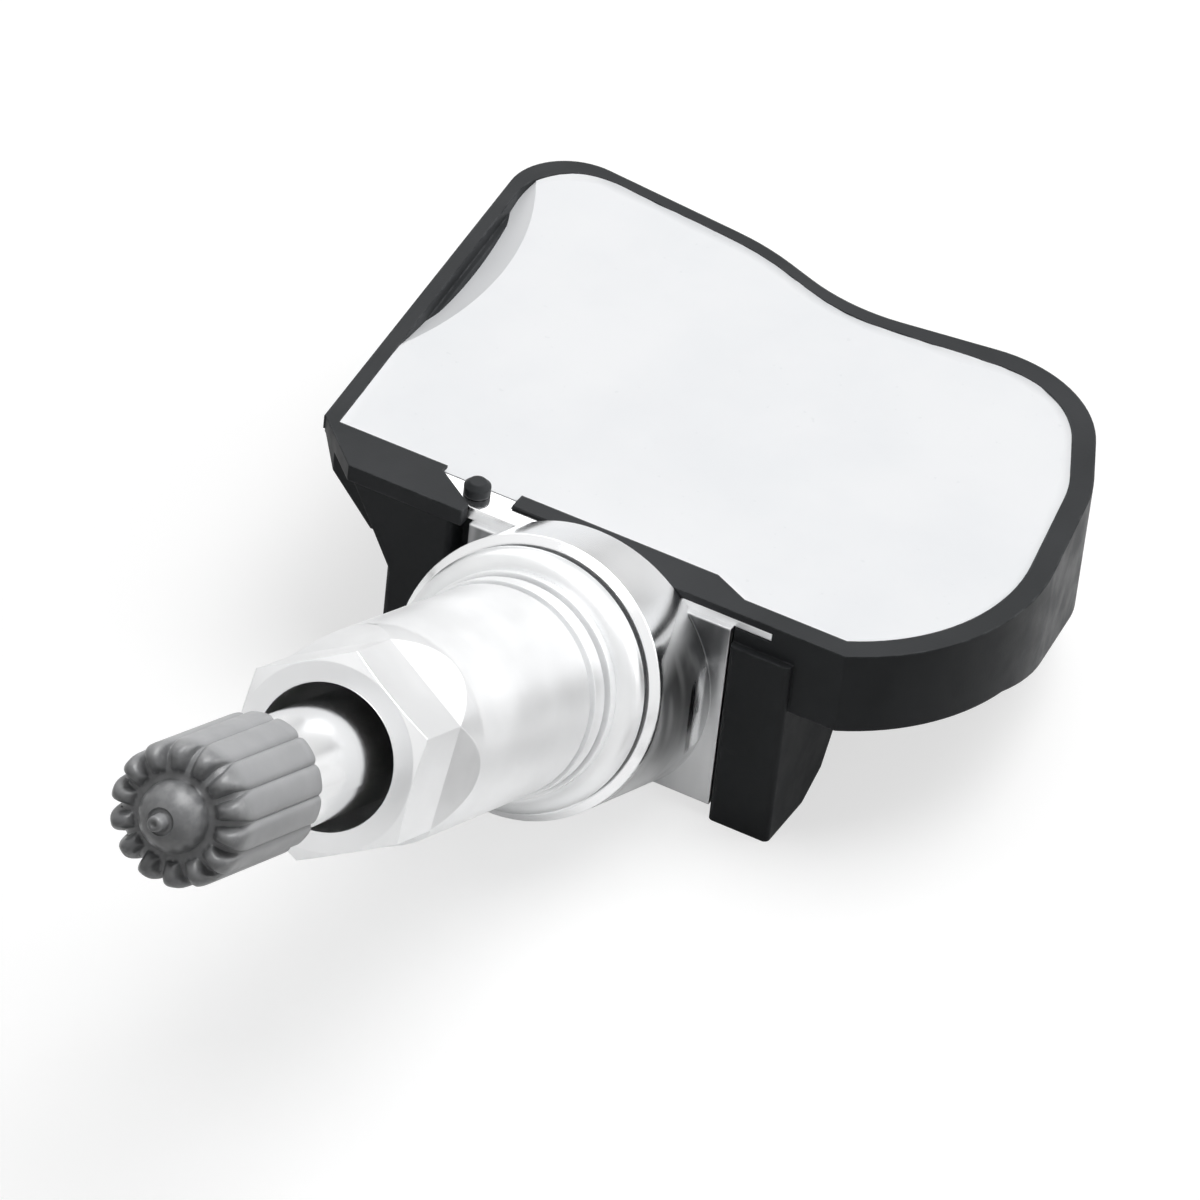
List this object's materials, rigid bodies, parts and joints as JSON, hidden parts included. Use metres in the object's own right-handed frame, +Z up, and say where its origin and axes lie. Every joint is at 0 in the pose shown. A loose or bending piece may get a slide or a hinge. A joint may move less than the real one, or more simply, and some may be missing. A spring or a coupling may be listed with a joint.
{
  "type": "tyre pressure sensor",
  "caption": "Tyre pressure sensor: a potted, curved plastic housing on legs, with a clamp-in valve stem, seal ring, sleeve nut and fluted valve cap.",
  "frame": {"origin": "centre of the valve seat, the face of the valve body that the rubber seal ring sits on", "axes": "+Z up from the feet to the potted side; the stem runs towards -Y and rises 24 degrees above it; +X towards the round end of the housing"},
  "size_m": [0.0498, 0.0961, 0.0371],
  "materials": {
    "housing_plastic": "moulded, fine matt grain",
    "potting_resin": "cast, glossy and slightly uneven",
    "valve_alloy": "nickel-plated, bright",
    "nut_alloy": "turned, satin bright",
    "clamp_alloy": "satin",
    "screw_steel": "zinc-plated",
    "seal_rubber": "matt",
    "cap_plastic": "moulded, semi-matt",
    "core_brass": "turned",
    "core_ptfe": "waxy",
    "spring_steel": "drawn wire",
    "board_laminate": "solder mask",
    "cell_steel": "nickel-plated can",
    "tab_nickel": "rolled strip",
    "chip_plastic": "moulded",
    "ferrite": "pressed and sintered",
    "copper_wire": "enamelled copper",
    "crystal_can": "lidded can",
    "capacitor_body": "fired"
  },
  "bodies": {
    "sensor": {"housing": "housing_plastic", "potting": "potting_resin", "valve_body": "valve_alloy", "base_screw_left": "screw_steel", "base_screw_right": "screw_steel", "seal_ring": "seal_rubber", "core_barrel": "core_brass", "core_gasket": "core_ptfe", "core_spring": "spring_steel", "circuit_board": "board_laminate", "battery_cell": "cell_steel", "battery_tab_top": "tab_nickel", "battery_tab_bottom": "tab_nickel", "sensor_chip": "chip_plastic", "port_gasket": "seal_rubber", "lf_core": "ferrite", "lf_winding": "copper_wire", "crystal": "crystal_can", "capacitor_left": "capacitor_body", "capacitor_right": "capacitor_body", "antenna_loop": "copper_wire"},
    "clamp": {"clamp_ring": "clamp_alloy"},
    "nut": {"sleeve_nut": "nut_alloy"},
    "cap_liner": {"cap_seal": "seal_rubber"},
    "cap": {"valve_cap": "cap_plastic"},
    "pin": {"core_pin": "core_brass", "core_seal": "seal_rubber"}
  },
  "joints": [
    {"name": "nut_travel", "type": "slide", "parent": "sensor", "child": "clamp", "axis": [0, -0.9135, 0.4067], "range_m": [0, 0.009]},
    {"name": "nut_turn", "type": "hinge", "parent": "clamp", "child": "nut", "pos_m": [0, 0, 0], "axis": [0, -0.9135, 0.4067], "range_deg": [0, 3245]},
    {"name": "cap_travel", "type": "slide", "parent": "sensor", "child": "cap_liner", "axis": [0, -0.9135, 0.4067], "range_m": [0, 0.00635]},
    {"name": "cap_turn", "type": "hinge", "parent": "cap_liner", "child": "cap", "pos_m": [0, 0, 0], "axis": [0, -0.9135, 0.4067], "range_deg": [0, 2885]},
    {"name": "pin_press", "type": "slide", "parent": "sensor", "child": "pin", "axis": [0, 0.9135, -0.4067], "range_m": [0, 0.0015], "stiffness_N_per_m": 600, "springref_m": -0.002, "deforming": ["core_spring"]}
  ],
  "couplings": [
    {"joint": "nut_turn", "follows": "nut_travel", "rad_per_m": 6283.2},
    {"joint": "cap_turn", "follows": "cap_travel", "rad_per_m": 7915.8}
  ]
}
